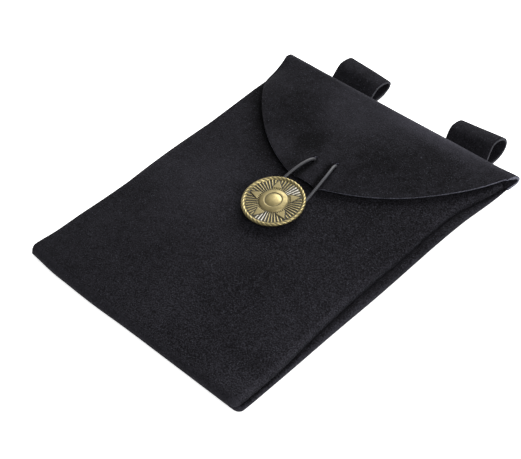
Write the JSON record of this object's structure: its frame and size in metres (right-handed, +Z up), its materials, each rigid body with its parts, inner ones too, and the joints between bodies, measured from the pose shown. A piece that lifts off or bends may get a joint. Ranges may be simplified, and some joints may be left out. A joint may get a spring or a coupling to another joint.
{
  "type": "belt pouch",
  "caption": "Flat suede belt pouch lying on its back, with a curved flap over the pocket, belt loops behind the fold and a cord loop hooked under a round cast button.",
  "frame": {"origin": "on the table, under the middle of the pouch's width and of its length with the belt loops", "axes": "+X across the pouch to the right of its front, +Y from the bottom fold to the top fold, +Z up from the table that its back lies on"},
  "size_m": [0.1328, 0.1846, 0.0171],
  "materials": {
    "suede": "black suede with a short mottled nap",
    "antique_brass": "cast, antiqued, dark patina in the recesses",
    "post_steel": "plain",
    "cord": "round braided cord with a slight sheen"
  },
  "bodies": {
    "root": {"front_panel": "suede", "back_panel": "suede", "flap": "suede", "belt_loop_left": "suede", "belt_loop_right": "suede", "concho_button": "antique_brass", "concho_post": "post_steel", "closure_cord": "cord"}
  },
  "joints": []
}
